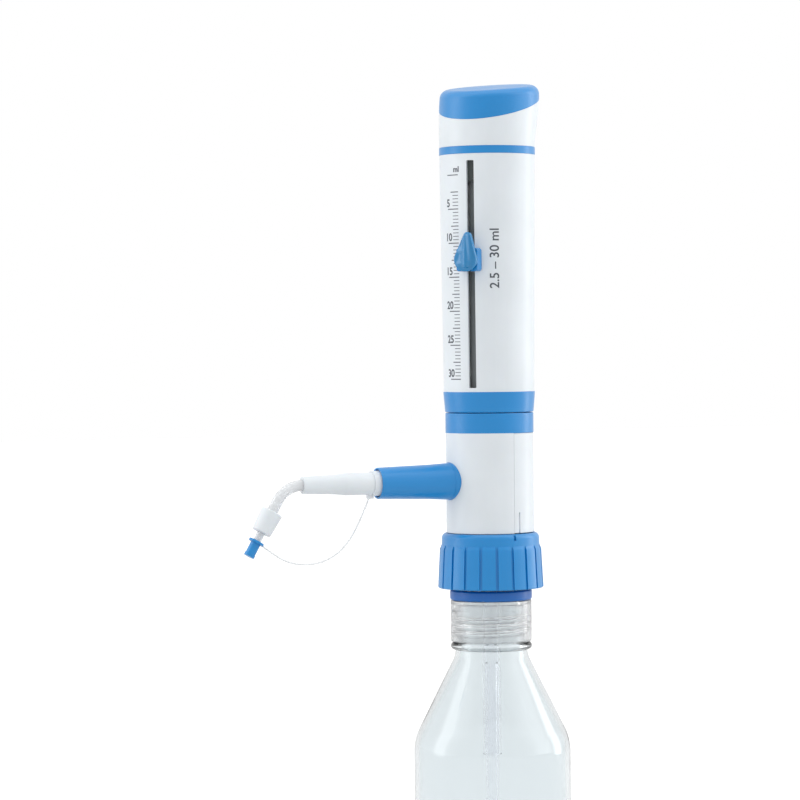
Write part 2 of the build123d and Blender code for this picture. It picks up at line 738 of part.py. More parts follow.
def calibration_nut():
    """Sets the rod's height in the head, and so the dispensed volume."""
    low, height = POST_Z - 4.5, 4.0
    hexagon = extrude(RegularPolygon(7.0, 6), height)
    return Pos(0, 0, low) * hexagon - ring(0, ROD_R + FIT, low - 1, POST_Z)


def head_screw():
    body = ring(0, 1.95, ROD_TOP_Z - 10, SCREW_HEAD_Z)
    body += ring(0, 3.7, SCREW_HEAD_Z, SCREW_HEAD_Z + 2.6)
    return body - Pos(0, 0, SCREW_HEAD_Z + 1.2) * extrude(RegularPolygon(1.6, 6), 2)


# ---- pointer ----


def follow():
    """A frame on the sleeve's drafted face at the pointer, with +X out along the slot's direction."""
    return toward(SLOT_DIR, sleeve_radius(POINTER_Z), POINTER_Z) * Rot(0, DRAFT, 0)


def pin(start, stop, radius):
    """A round rod along a local frame's +X."""
    return Pos(start, 0, 0) * Rot(0, 90, 0) * ring(0, radius, 0, stop - start)


def pointer_carriage():
    saddle = sleeve_radius(POINTER_Z)
    body = block(-0.8, 0, 0, CARRIAGE_DEPTH + 0.8, CARRIAGE_WIDTH, CARRIAGE_HEIGHT)
    body = fillet(body.edges().filter_by(Axis.X), 1.5)
    body -= Pos(-saddle, 0, 0) * Cylinder(saddle + 0.35, 40)
    body += block(-SLEEVE_WALL - 1.3, 0, 0, SLEEVE_WALL + 2.3, SLOT_WIDTH - 0.4, TONGUE_HEIGHT)
    return follow() * (body - pin(-10, 10, STEM_R + FIT))


def lock_shoe():
    body = block(-SHOE_DEPTH, 0, 0, 0.9, 8.0, 8.0)
    return follow() * (body - pin(-10, 10, STEM_R + FIT))


def teardrop(offset):
    """The knob's outline, seen from its face: a round heel drawn up to a blunt tip."""
    tip_z = KNOB_REACH - KNOB_TIP_R
    angle = atan2(KNOB_R - KNOB_TIP_R, tip_z)
    heel_r, tip_r = KNOB_R - offset, KNOB_TIP_R - offset * 0.5

    def place(centre, radius, a):
        return (radius * cos(a), centre + radius * sin(a))

    right_heel, right_tip = place(0, heel_r, angle), place(tip_z, tip_r, angle)
    left_heel, left_tip = (-right_heel[0], right_heel[1]), (-right_tip[0], right_tip[1])
    outline = [
        ThreePointArc(right_heel, (0, -heel_r), left_heel),
        Line(left_heel, left_tip),
        ThreePointArc(left_tip, (0, tip_z + tip_r), right_tip),
        Line(right_tip, right_heel),
    ]
    return make_face([e for part in outline for e in part.edges()])


def lock_knob():
    upright = Plane.YZ.location
    base = extrude(teardrop(0), KNOB_DEPTH - 1.6)
    crown = loft([Pos(0, 0, KNOB_DEPTH - 1.6) * teardrop(0), Pos(0, 0, KNOB_DEPTH) * teardrop(1.6)])
    fin = extrude(RectangleRounded(2.2, 15.0, 1.0), KNOB_DEPTH + 1.2)
    body = base + crown + Pos(0, 4.6, 0) * fin
    body = Pos(KNOB_START, 0, 0) * upright * Rot(0, 0, KNOB_ANGLE) * body
    return follow() * (body - pin(0, KNOB_START + KNOB_DEPTH - 1.5, STEM_R + FIT))


def lock_stem():
    return follow() * pin(-SHOE_DEPTH, KNOB_START + KNOB_DEPTH - 1.6, STEM_R)


# ---- nozzle ----


def nozzle_boot():
    root_end, taper_end, taper_r = 25.0, 37.0, 9.4
    body = along(21, root_end, BOOT_ROOT_R)
    body += along(root_end, taper_end, BOOT_ROOT_R - 0.2, taper_r)
    body += along(taper_end, BOOT_MOUTH, taper_r, BOOT_MOUTH_R)
    body -= ring(0, BODY_R + 0.03, 200, 280)
    body += along(20.7, root_end, NOZZLE_PORT_R - 0.1)
    body -= along(20, BOOT_MOUTH + 1, ARM_R + GAP)
    body -= along(BOOT_SOCKET, BOOT_MOUTH + 1, BOOT_SOCKET_R)
    rim = body.edges().filter_by(lambda e: e.center().X < -BOOT_MOUTH + 0.1)
    return fillet(rim, 0.45)


def feed_tube():
    return along(21.5, 78, FEED_R) - along(21, 79, 1.0)


def nozzle_arm():
    profile = [(radius, distance) for distance, radius in ARM_PROFILE]
    body = nozzle_lathe([(0, ARM_START), (ARM_R, ARM_START), *profile, (0, ARM_END)])
    return body - along(ARM_START - 1, ARM_END + 1, TUBE_R + 0.02)


def bend():
    """The delivery tube's centre line: straight, then one bend down."""
    centre = (-BEND_START, 0, NOZZLE_Z - BEND_R)

    def rim(angle):
        a = radians(angle)
        return (centre[0] - BEND_R * sin(a), 0, centre[2] + BEND_R * cos(a))

    straight = Line((-TUBE_START, 0, NOZZLE_Z), rim(0))
    curve = ThreePointArc(rim(0), rim(BEND_ANGLE / 2), rim(BEND_ANGLE))
    return straight, curve


def down(distance):
    """A frame at a distance past the bend, with +Z on along the tip."""
    _, curve = bend()
    end = curve @ 1
    a = radians(BEND_ANGLE)
    step = Vector(-cos(a), 0, -sin(a)) * distance
    return Pos(*(end + step)) * Rot(0, -90 - BEND_ANGLE, 0)


def tip_ring(inner, outer, start, stop):
    return down(start) * ring(inner, outer, 0, stop - start)


def delivery_tube():
    straight, curve = bend()
    end = curve @ 1
    a = radians(BEND_ANGLE)
    tail = Line(end, end + Vector(-cos(a), 0, -sin(a)) * TUBE_END)
    path = Wire([straight.edge(), curve.edge(), tail.edge()])
    wall = Circle(TUBE_R) - Circle(TUBE_BORE_R)
    section = Plane(straight @ 0, z_dir=(-1, 0, 0)) * wall
    return sweep(section, path)


def nozzle_nut():
    body = down(0) * lathe([(0, NUT_START), (NUT_R, NUT_START), (NUT_END_R, NUT_END), (0, NUT_END)])
    rims = body.edges().filter_by(GeomType.CIRCLE)
    body = fillet(rims, 0.7)
    body -= tip_ring(0, TUBE_R + FIT, NUT_START - 1, TIP_START - 0.2)
    return body - tip_ring(0, TIP_R + FIT, TIP_START - 1, NUT_END + 1)


def nozzle_tip():
    taper = TIP_END - 2
    end_r = TIP_R - 0.5
    outline = [(0, TIP_START), (TIP_R, TIP_START), (TIP_R, taper), (end_r, TIP_END), (0, TIP_END)]
    body = down(0) * lathe(outline)
    return body - tip_ring(0, TIP_BORE_R, TIP_START - 1, TIP_END + 1)


def tip_cap():
    body = tip_ring(0, FLANGE_R, FLANGE_START, FLANGE_END)
    body += tip_ring(0, CAP_R, FLANGE_END, CAP_END)
    body += tip_ring(0, CAP_R + 0.2, CAP_END - 1.8, CAP_END)
    return body - tip_ring(0, TIP_R + FIT, FLANGE_START - 1, CAP_END - 1.5)


# ---- cap tether ----


def tether_anchor():
    lug_height = 3.2
    lug = Pos(-LUG_OUT, 0, LUG_Z + lug_height / 2) * Box(3.6, 2.2, lug_height)
    body = along(ANCHOR_START, ANCHOR_END, ANCHOR_R) + lug
    body -= along(ANCHOR_START - 1, LUG_OUT + 3, ANCHOR_BORE_R)
    tether_out, _ = TETHER_ROUTE[0]
    return body - Pos(-tether_out, 0, LUG_Z) * Cylinder(TETHER_D / 2, 2 * lug_height)


def bend_radii(points):
    """For each inner point, 0.45 of its shorter run over the tangent of half its turn."""
    radii = []
    for before, here, after in zip(points, points[1:], points[2:]):
        first, second = here - before, after - here
        half_turn = radians(first.get_angle(second)) / 2
        radii.append(0.45 * min(first.length, second.length) / tan(half_turn))
    return radii


def cap_tether():
    points = [Vector(-out, 0, z) for out, z in TETHER_ROUTE]
    radii = bend_radii(points)
    path = FilletPolyline(*points, radius=radii)
    section = Plane(points[0], z_dir=points[1] - points[0]) * Circle(TETHER_D / 2)
    return sweep(section, path)


# ---- filling tube ----
def filling_tube_upper():
    return ring(NIPPLE_R + FIT, 5.0, 90, 191.8)


def filling_tube_lower():
    low = 12
    body = ring(2.4, NIPPLE_R - 0.02, low, 140)
    below_end = (Align.CENTER, Align.CENTER, Align.MAX)
    return body - Pos(0, 0, low) * Rot(0, 45, 0) * Box(30, 30, 30, align=below_end)


def bottle_gasket():
    return ring(SPOUT_R, SPIGOT_R - 0.4, ADAPTER_TOP_Z + 0.05, FLANGE_Z - 0.05)


PIECES = [
    bottle,
    bottle_adapter,
    adapter_ring,
    swivel_flange,
    bottle_gasket,
    swivel_clip,
    screw_collar,
    lower_housing,
    rear_cover,
    valve_block,
    block_screws,
    inlet_valve_seat,
    inlet_ball,
    inlet_ball_stop,
    outlet_valve_body,
    outlet_ball,
    outlet_spring,
    barrel_seal,
    glass_barrel,
    guard_tube,
    stop_rail,
    lower_ring,
    outer_sleeve,
    sleeve_ring,
    guide_bush,
    slot_rack,
    accent_ring,
    head_body,
    head_grip,
    calibration_nut,
    head_screw,
    piston_rod,
    piston_head,
    piston_seals,
    pointer_carriage,
    lock_shoe,
    lock_knob,
    lock_stem,
    nozzle_boot,
    feed_tube,
    nozzle_arm,
    delivery_tube,
    nozzle_nut,
    nozzle_tip,
    tip_cap,
    tether_anchor,
    cap_tether,
    filling_tube_upper,
    filling_tube_lower,
]

for piece in PIECES:
    save(piece.__name__, piece())
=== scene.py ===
import json
from math import atan2, cos, degrees, exp, pi, radians, sin, tan

import bmesh
import bpy
from mathutils import Matrix, Vector


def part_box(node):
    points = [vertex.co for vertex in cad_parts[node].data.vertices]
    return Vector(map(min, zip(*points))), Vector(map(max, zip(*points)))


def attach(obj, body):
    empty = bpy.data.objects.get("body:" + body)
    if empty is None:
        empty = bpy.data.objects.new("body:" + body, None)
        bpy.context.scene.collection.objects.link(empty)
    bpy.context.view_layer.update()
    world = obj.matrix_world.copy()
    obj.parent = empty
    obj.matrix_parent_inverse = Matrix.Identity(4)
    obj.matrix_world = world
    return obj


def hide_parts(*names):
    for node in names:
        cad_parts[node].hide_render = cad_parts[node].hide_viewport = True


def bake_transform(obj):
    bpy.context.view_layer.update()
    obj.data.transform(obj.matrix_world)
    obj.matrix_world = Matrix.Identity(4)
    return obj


# Sizes are in millimetres and directions in degrees from +X, as on the part's drawings.
# MM turns a size into Blender's metres.

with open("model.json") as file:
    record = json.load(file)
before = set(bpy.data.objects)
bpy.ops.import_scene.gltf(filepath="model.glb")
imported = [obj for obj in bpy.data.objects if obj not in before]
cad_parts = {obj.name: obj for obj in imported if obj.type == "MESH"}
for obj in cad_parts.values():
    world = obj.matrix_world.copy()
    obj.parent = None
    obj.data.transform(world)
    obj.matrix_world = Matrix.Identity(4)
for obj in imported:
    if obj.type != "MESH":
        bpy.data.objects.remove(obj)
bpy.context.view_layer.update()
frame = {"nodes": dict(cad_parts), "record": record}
NODES = frame["nodes"]
SLOTS = {row["node"]: row["material_slot"] for row in frame["record"]["subparts"]}
MM = 0.001


def span(node):
    """Lowest and highest corner of a CAD node, in mm."""
    low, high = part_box(node)
    return low / MM, high / MM


# ---- places taken from the frame ----
BOTTLE_TOP = span("bottle")[1]
ADAPTER_LOW, ADAPTER_HIGH = span("bottle_adapter")
ADAPTER_RING_Z = span("adapter_ring")[0].z
SLEEVE_TOP_R = span("outer_sleeve")[1].x
SLEEVE_TOP_Z = span("accent_ring")[0].z
SLEEVE_Z = span("sleeve_ring")[1].z
SLEEVE_R = span("sleeve_ring")[1].x - 0.25
DRAFT = atan2(SLEEVE_TOP_R - SLEEVE_R, SLEEVE_TOP_Z - SLEEVE_Z)


def sleeve_radius(height):
    return SLEEVE_R + (height - SLEEVE_Z) * tan(DRAFT)


# ---- materials ----
MATERIALS = {}


def srgb(red, green, blue):
    """Linear colour of an 8-bit sRGB colour."""
    values = [c / 255 for c in (red, green, blue)]
    linear = [c / 12.92 if c <= 0.04045 else ((c + 0.055) / 1.055) ** 2.4 for c in values]
    return (*linear, 1.0)


def shade(colour, factor):
    return (*[c * factor for c in colour[:3]], 1.0)


def material(name, colour, **sockets):
    """A new material, and its node tree, its shader and the coordinates that its textures use."""
    made = bpy.data.materials.new(name)
    MATERIALS[name] = made
    made.use_nodes = True
    tree = made.node_tree
    shader = tree.nodes["Principled BSDF"]
    shader.inputs["Base Color"].default_value = colour
    for socket, value in sockets.items():
        shader.inputs[socket.replace("_", " ")].default_value = value
    place = tree.nodes.new("ShaderNodeTexCoord")
    return tree, shader, place.outputs["Object"]


def noise(tree, place, size, detail=2.0, stretch=(1.0, 1.0, 1.0)):
    """A noise whose features are about that many mm across."""
    mapping = tree.nodes.new("ShaderNodeMapping")
    mapping.inputs["Scale"].default_value = [s / (size * MM) for s in stretch]
    tree.links.new(place, mapping.inputs["Vector"])
    texture = tree.nodes.new("ShaderNodeTexNoise")
    texture.inputs["Scale"].default_value = 1.0
    texture.inputs["Detail"].default_value = detail
    tree.links.new(mapping.outputs["Vector"], texture.inputs["Vector"])
    return texture.outputs["Fac"]


def spread(tree, value, low, high):
    """The middle of a noise, widened to run from low to high."""
    node = tree.nodes.new("ShaderNodeMapRange")
    node.inputs["From Min"].default_value = 0.3
    node.inputs["From Max"].default_value = 0.7
    node.inputs["To Min"].default_value = low
    node.inputs["To Max"].default_value = high
    tree.links.new(value, node.inputs["Value"])
    return node.outputs["Result"]


def tint(tree, shader, value, first, second):
    """The base colour, running between two colours."""
    mix = tree.nodes.new("ShaderNodeMix")
    mix.data_type = "RGBA"
    mix.inputs["A"].default_value = first
    mix.inputs["B"].default_value = second
    tree.links.new(value, mix.inputs["Factor"])
    tree.links.new(mix.outputs["Result"], shader.inputs["Base Color"])


def gloss(tree, shader, value, roughness, change):
    """The roughness, varied up and down by a noise."""
    varied = spread(tree, value, roughness - change, roughness + change)
    tree.links.new(varied, shader.inputs["Roughness"])


def bump(tree, shader, value, height):
    """Relief of that many mm, on top of any relief that the shader has."""
    node = tree.nodes.new("ShaderNodeBump")
    node.inputs["Distance"].default_value = height * MM
    node.inputs["Strength"].default_value = 1.0
    tree.links.new(value, node.inputs["Height"])
    if shader.inputs["Normal"].is_linked:
        tree.links.new(shader.inputs["Normal"].links[0].from_socket, node.inputs["Normal"])
    tree.links.new(node.outputs["Normal"], shader.inputs["Normal"])


def plastic(name, colour, roughness, grain=0.35, relief=0.004, **sockets):
    """Moulded plastic: spark-eroded grain, faint flow marks and handling marks in the gloss."""
    tree, shader, place = material(name, colour, **sockets)
    clouds = spread(tree, noise(tree, place, 26.0, detail=3.0), 0, 1)
    tint(tree, shader, clouds, shade(colour, 0.97), shade(colour, 1.03))
    gloss(tree, shader, noise(tree, place, 9.0, detail=4.0), roughness, change=0.05)
    bump(tree, shader, noise(tree, place, grain), relief)
    flow = noise(tree, place, 14.0, detail=1.0, stretch=(1.0, 1.0, 0.3))
    bump(tree, shader, flow, height=0.03)


def clear_plastic(name, colour, roughness, transmission, ior=1.45):
    """Natural polypropylene: cloudy, with a little flow-line variation."""
    sockets = {"Transmission_Weight": transmission, "IOR": ior}
    tree, shader, place = material(name, colour, **sockets)
    cloud = noise(tree, place, 6.0, detail=3.0, stretch=(1.0, 1.0, 0.4))
    tint(tree, shader, spread(tree, cloud, 0, 1), shade(colour, 0.98), shade(colour, 1.01))
    gloss(tree, shader, cloud, roughness, change=0.04)
    bump(tree, shader, noise(tree, place, 9.0, detail=1.0), height=0.02)


def glass(name, colour, waviness):
    """Clear glass with the slow waviness of moulding or drawing."""
    sockets = {"Transmission_Weight": 1.0, "IOR": 1.5, "Roughness": 0.0}
    tree, shader, place = material(name, colour, **sockets)
    handling = spread(tree, noise(tree, place, 5.0, detail=3.0), 0.005, 0.03)
    tree.links.new(handling, shader.inputs["Roughness"])
    bump(tree, shader, noise(tree, place, 16.0, detail=1.0), waviness)


def steel(name):
    """Turned stainless steel: fine marks around the axis."""
    tree, shader, place = material(name, (0.62, 0.62, 0.64, 1.0), Metallic=1.0)
    rings = noise(tree, place, 0.25, stretch=(0.1, 0.1, 1.0))
    gloss(tree, shader, rings, roughness=0.26, change=0.08)
    bump(tree, shader, rings, height=0.004)


SATIN = {"Specular_IOR_Level": 0.5}
SOFT_WHITE = {"Subsurface_Weight": 0.05, **SATIN}
COATED = {"Coat_Weight": 0.35, "Coat_Roughness": 0.3, **SATIN}
GLOSSY = {"Specular_IOR_Level": 0.8}
plastic("white_plastic", srgb(226, 230, 234), roughness=0.34, **SOFT_WHITE)
plastic("blue_plastic", srgb(2, 132, 202), roughness=0.34, **COATED)
plastic("dark_blue_plastic", srgb(4, 98, 180), roughness=0.34, **SATIN)
plastic("knob_plastic", srgb(4, 124, 182), roughness=0.1, relief=0.0015, **GLOSSY)
plastic("black_plastic", srgb(58, 64, 64), roughness=0.45, **SATIN)
plastic("rail_plastic", srgb(150, 156, 158), roughness=0.45, **SATIN)
clear_plastic("clear_plastic", srgb(250, 252, 254), roughness=0.16, transmission=0.45)
clear_plastic("tube_plastic", srgb(254, 254, 255), roughness=0.08, transmission=1.0, ior=1.28)
clear_plastic("adapter_plastic", srgb(252, 254, 255), roughness=0.17, transmission=0.84)
clear_plastic("natural_plastic", srgb(232, 235, 236), roughness=0.35, transmission=0.3)
glass("bottle_glass", srgb(238, 243, 245), waviness=0.05)
glass("barrel_glass", srgb(248, 251, 251), waviness=0.005)
plastic("seal_rubber", srgb(52, 53, 55), roughness=0.62, grain=0.2, relief=0.006)
steel("steel")
glass("valve_ball", srgb(238, 243, 245), waviness=0.002)
plastic("print_ink", srgb(74, 80, 88), roughness=0.5, grain=0.1, relief=0.001)


# ---- mesh helpers ----
def show(name, mesh, finish, body, nodes=(), crease=38.0):
    """A finished mesh as a piece. It may ride on a body and may stand for CAD nodes."""
    work = bmesh.new()
    work.from_mesh(mesh)
    bmesh.ops.remove_doubles(work, verts=work.verts, dist=1e-6)
    bmesh.ops.recalc_face_normals(work, faces=work.faces)
    work.to_mesh(mesh)
    work.free()
    mesh.shade_smooth()
    mesh.set_sharp_from_angle(angle=radians(crease))
    mesh.materials.clear()
    mesh.materials.append(MATERIALS[finish])
    piece = bpy.data.objects.new(name, mesh)
    bpy.context.scene.collection.objects.link(piece)
    if body:
        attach(piece, body)
    if nodes:
        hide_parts(*nodes)
    return piece


def mesh_of(name, points, faces):
    """A mesh from points in mm."""
    mesh = bpy.data.meshes.new(name)
    mesh.from_pydata([Vector(p) * MM for p in points], [], faces)
    return mesh


def between(first, second, share):
    """The point that lies at a share of the way between two points of a plane."""
    return tuple(a + (b - a) * share for a, b in zip(first, second))


def arc(centre, radius, start, stop, steps=10):
    """Points of (radius, height) on an arc, angles in degrees."""
    turns = [radians(start + (stop - start) * i / steps) for i in range(steps + 1)]
    return [(centre[0] + radius * cos(a), centre[1] + radius * sin(a)) for a in turns]


def rise(low, high, radius, step=0.25):
    """Points straight up or down a wall, close enough together to carry a thread."""
    count = max(1, round(abs(high - low) / step))
    return [(radius, low + (high - low) * i / count) for i in range(count + 1)]


def turned(name, outline, segments, relief):
    """A closed outline of (radius, height) turned about Z.

    relief(angle, radius, height) adds to the radius.
    """
    points, faces = [], []
    count = len(outline)
    for i in range(segments):
        angle = 2 * pi * i / segments
        for r, z in outline:
            grown = r + relief(angle, r, z)
            points.append((grown * cos(angle), grown * sin(angle), z))
    for i in range(segments):
        j = (i + 1) % segments
        for k in range(count):
            m = (k + 1) % count
            faces.append((i * count + k, j * count + k, j * count + m, i * count + m))
    return mesh_of(name, points, faces)


def thread(angle, z, start, pitch, turns, height, half_width):
    """Height of a right-handed thread at a place. It starts at angle 0 and fades at both ends."""
    fade, roundness = 0.3, 0.6
    offset = (z - start) / pitch - angle / (2 * pi)
    turn = round(offset)
    along = turn + angle / (2 * pi)
    across = (offset - turn) * pitch / half_width
    if not 0 <= along <= turns or abs(across) >= 1:
        return 0.0
    ends = min(1.0, along / fade, (turns - along) / fade)
    return height * ends * (1 - across * across) ** roundness


def polish(node, width):
    """A CAD node's material, and its sharp edges rounded a little as a mould leaves them."""
    shape = NODES[node]
    shape.material_slots[0].material = MATERIALS[SLOTS[node]]
    if not width:
        return
    weld = shape.modifiers.new("weld", "WELD")
    weld.merge_threshold = 1e-6
    flat = shape.modifiers.new("flat", "DECIMATE")
    flat.decimate_type = "DISSOLVE"
    flat.angle_limit = radians(0.3)
    edge = shape.modifiers.new("edge", "BEVEL")
    edge.width = width * MM
    edge.segments = 3
    edge.limit_method = "ANGLE"
    edge.angle_limit = radians(32)
    even = shape.modifiers.new("even", "WEIGHTED_NORMAL")
    even.keep_sharp = False
    even.weight = 60


# ---- bottle ----
BOTTLE_R = BOTTLE_TOP.x
LIP_Z = BOTTLE_TOP.z
WALL = 2.5
NECK_ROOT = (19.8, 148.0)  # radius and height where the shoulder ends
NECK_R = 18.6
NECK_BORE_R = 16.0
BEAD = (22.3, 152.4)  # radius and top of the bead below the thread
SHOULDER_SLOPE = 26.5  # from upright
SHOULDER_BOW = 30.0  # radius of the convex arc at the wall's top
NECK_BOW = 12.0  # radius of the concave arc at the neck
GLASS_THREAD = {"start": 154.3, "pitch": 3.7, "turns": 3.3, "height": 0.95, "half_width": 0.95}


def shoulder(inset):
    """The shoulder from the wall's top to the neck: a convex arc, a slope and a concave arc."""
    steps = 14
    slope = radians(SHOULDER_SLOPE)
    bows = SHOULDER_BOW + NECK_BOW
    straight = (BOTTLE_R - NECK_ROOT[0] - bows * (1 - cos(slope))) / sin(slope)
    wall_top = NECK_ROOT[1] - bows * sin(slope) - straight * cos(slope)
    wall_centre = (BOTTLE_R - SHOULDER_BOW, wall_top)
    neck_centre = (NECK_ROOT[0] + NECK_BOW, NECK_ROOT[1])
    return [
        *arc(wall_centre, SHOULDER_BOW - inset, 0, SHOULDER_SLOPE, steps),
        *arc(neck_centre, NECK_BOW + inset, 180 + SHOULDER_SLOPE, 180, steps),
    ]


def bottle_piece():
    heel, foot_r, foot_rings, push_up = 6.0, 32.0, 8, 2.2
    floor_z, floor_dome = 5.5, 1.2
    bead_inset, lip_outer, lip_inner = 0.4, 1.2, 0.9
    shares = [i / foot_rings for i in range(foot_rings + 1)]
    bead_centre = (NECK_ROOT[0] + bead_inset, (NECK_ROOT[1] + BEAD[1]) / 2)
    outline = [
        *[(foot_r * share, push_up * (1 - share**2)) for share in shares],
        *arc((BOTTLE_R - heel, heel), heel, -90, 0),
        *shoulder(0),
        *arc(bead_centre, BEAD[0] - NECK_ROOT[0] - bead_inset, -80, 80, 12),
        *rise(BEAD[1] + 0.3, LIP_Z - 1.5, NECK_R),
        *arc((NECK_R - lip_outer, LIP_Z - lip_outer), lip_outer, 0, 90, 5),
        *arc((NECK_BORE_R + lip_inner, LIP_Z - lip_inner), lip_inner, 90, 180, 5),
        (NECK_BORE_R, LIP_Z - 4),
        (NECK_BORE_R, BEAD[1]),
        *reversed(shoulder(WALL)),
        *arc((BOTTLE_R - heel - WALL, floor_z + heel), heel, 0, -90),
        (0, floor_z + floor_dome),
    ]

    def relief(angle, r, z):
        on_neck = r > NECK_R - 0.01 and z > BEAD[1]
        return thread(angle, z, **GLASS_THREAD) if on_neck else 0.0

    mesh = turned("bottle_shell", outline, 180, relief)
    show("bottle_shell", mesh, "bottle_glass", "bottle", ["bottle"])


# ---- adapter between bottle and dispenser ----
def adapter_piece():
    low, top, outer_r = ADAPTER_LOW.z, ADAPTER_HIGH.z, ADAPTER_HIGH.x
    bore_r, spout_r, spigot_r = 20.1, 15.5, 19.4
    edge, lead_in, chamfer = 0.7, 0.6, 0.7
    inner = {"start": 156.15, "pitch": 3.7, "turns": 3.6, "height": 0.9, "half_width": 0.8}
    spigot = {
        "start": ADAPTER_RING_Z + 8.2,
        "pitch": 4.0,
        "turns": 2.0,
        "height": 0.8,
        "half_width": 1.2,
    }
    outline = [
        *arc((outer_r - edge, low + edge), edge, -90, 0, 4),
        *arc((outer_r - edge, ADAPTER_RING_Z - edge), edge, 0, 90, 4),
        (spigot_r, ADAPTER_RING_Z),
        *rise(ADAPTER_RING_Z + 1, top - 1.5, spigot_r),
        (spigot_r - chamfer, top),
        (spout_r, top),
        (spout_r, LIP_Z),
        (bore_r, LIP_Z),
        *rise(LIP_Z - 0.5, low + 0.8, bore_r),
        (bore_r + lead_in, low),
    ]

    def relief(angle, r, z):
        if abs(r - bore_r) < 0.01:
            return -thread(angle, z, **inner)
        if abs(r - spigot_r) < 0.01 and z > ADAPTER_RING_Z:
            return thread(angle, z, **spigot)
        return 0.0

    mesh = turned("adapter_body", outline, 160, relief)
    show("adapter_body", mesh, "adapter_plastic", "bottle", ["bottle_adapter"])


# ---- lock knob ----
SLOT_DIR = 224.0  # direction of the volume slot
POINTER_Z = 361.3  # height of the pointer at rest
KNOB_TURN = -6.0  # how far the knob leans at rest


def knob_frame():
    """The knob's own frame: +X across the face, +Y up the sleeve, +Z out from it."""
    a = radians(SLOT_DIR)
    outward = Vector((cos(a) * cos(DRAFT), sin(a) * cos(DRAFT), -sin(DRAFT)))
    across = Vector((-sin(a), cos(a), 0))
    up = outward.cross(across)
    r = sleeve_radius(POINTER_Z)
    origin = Vector((r * cos(a), r * sin(a), POINTER_Z))
    turn = Matrix((across, up, outward)).transposed().to_4x4()
    knob_turn = Matrix.Rotation(radians(KNOB_TURN), 4, "Z")
    return Matrix.Translation(origin) @ turn @ knob_turn


def teardrop():
    """The knob's outline seen from its face: a round heel drawn up to a blunt tip."""
    heel_r, tip_r, tip_y, flank = 6.5, 2.1, 12.8, 24
    lean = degrees(atan2(heel_r - tip_r, tip_y))
    heel = arc((0, 0), heel_r, lean, -180 - lean, 40)
    tip = arc((0, tip_y), tip_r, 180 - lean, lean, 14)
    left = [between(heel[-1], tip[0], i / flank) for i in range(1, flank)]
    right = [between(tip[-1], heel[0], i / flank) for i in range(1, flank)]
    return heel + left + tip + right


def knob_piece():
    """A teardrop knob whose face rises to a slanting fin, with two finger studs on its left."""
    foot, fin_top = 6.5, 5.8  # out from the sleeve, and up from the foot
    fin_low, fin_high, fin_lean, fin_tip_x = -3.0, 13.4, 1.9, -0.2
    studs, stud_height, stud_spread, stud_fade = ((-2.6, 4.8), (-2.4, -2.4)), 0.7, 2.6, 0.15
    # share of the way from the fin's crest to the rim, and the height there
    corners = [
        (0.95, 0.0), (1.0, 0.4), (1.0, 2.2), (0.975, 2.65), (0.92, 2.9), (0.84, 2.98),
        (0.74, 3.05), (0.62, 3.2), (0.5, 3.5), (0.4, 3.95), (0.32, 4.5), (0.25, 5.05),
        (0.18, 5.45), (0.1, 5.7),
    ]
    finer = 3
    pairs = zip(corners, corners[1:])
    profile = [between(a, b, i / finer) for a, b in pairs for i in range(finer)] + corners[-1:]

    def crest(y):
        """The point of the fin's crest that is level with a point of the rim."""
        level = min(max(y, fin_low), fin_high)
        return fin_lean * (fin_high - level) / (fin_high - fin_low) + fin_tip_x, level

    def studded(x, y, share):
        """How far the studs lift a point of the face. They fade out at the rim."""
        lift = sum(exp(-((x - u) ** 2 + (y - v) ** 2) / stud_spread) for u, v in studs)
        return stud_height * lift * min(1.0, (1 - share) / stud_fade)

    rim = teardrop()
    count = len(rim)
    points, faces = [], []
    for share, height in profile:
        for x, y in rim:
            px, py = between(crest(y), (x, y), share)
            points.append((px, py, foot + height + studded(px, py, share)))
    points += [(*crest(y), foot + fin_top) for x, y in rim]
    for k in range(len(profile)):
        low, high = k * count, (k + 1) * count
        for i in range(count):
            j = (i + 1) % count
            faces.append((low + i, low + j, high + j, high + i))
    faces.append(tuple(range(count)))
    placing = knob_frame()
    mesh = mesh_of("knob_face", [placing @ Vector(p) for p in points], faces)
    show("knob_face", mesh, "knob_plastic", "knob", ["lock_knob"], crease=60)


# ---- scale printing ----
ZERO_Z = 407.5  # height of the 0 ml line
ML = 3.697  # travel for one ml
INK = 0.035  # how far the print stands proud
LINE_RIGHT = 207.2  # direction in which all the scale's lines end
LINE_LONG, LINE_MIDDLE, LINE_SHORT = 189.1, 194.8, 198.2  # directions in which they begin
LINE_BOLD, LINE_FINE = 0.5, 0.36


def on_sleeve(direction, height, proud):
    r = sleeve_radius(height) + proud
    a = radians(direction)
    return (r * cos(a), r * sin(a), height)


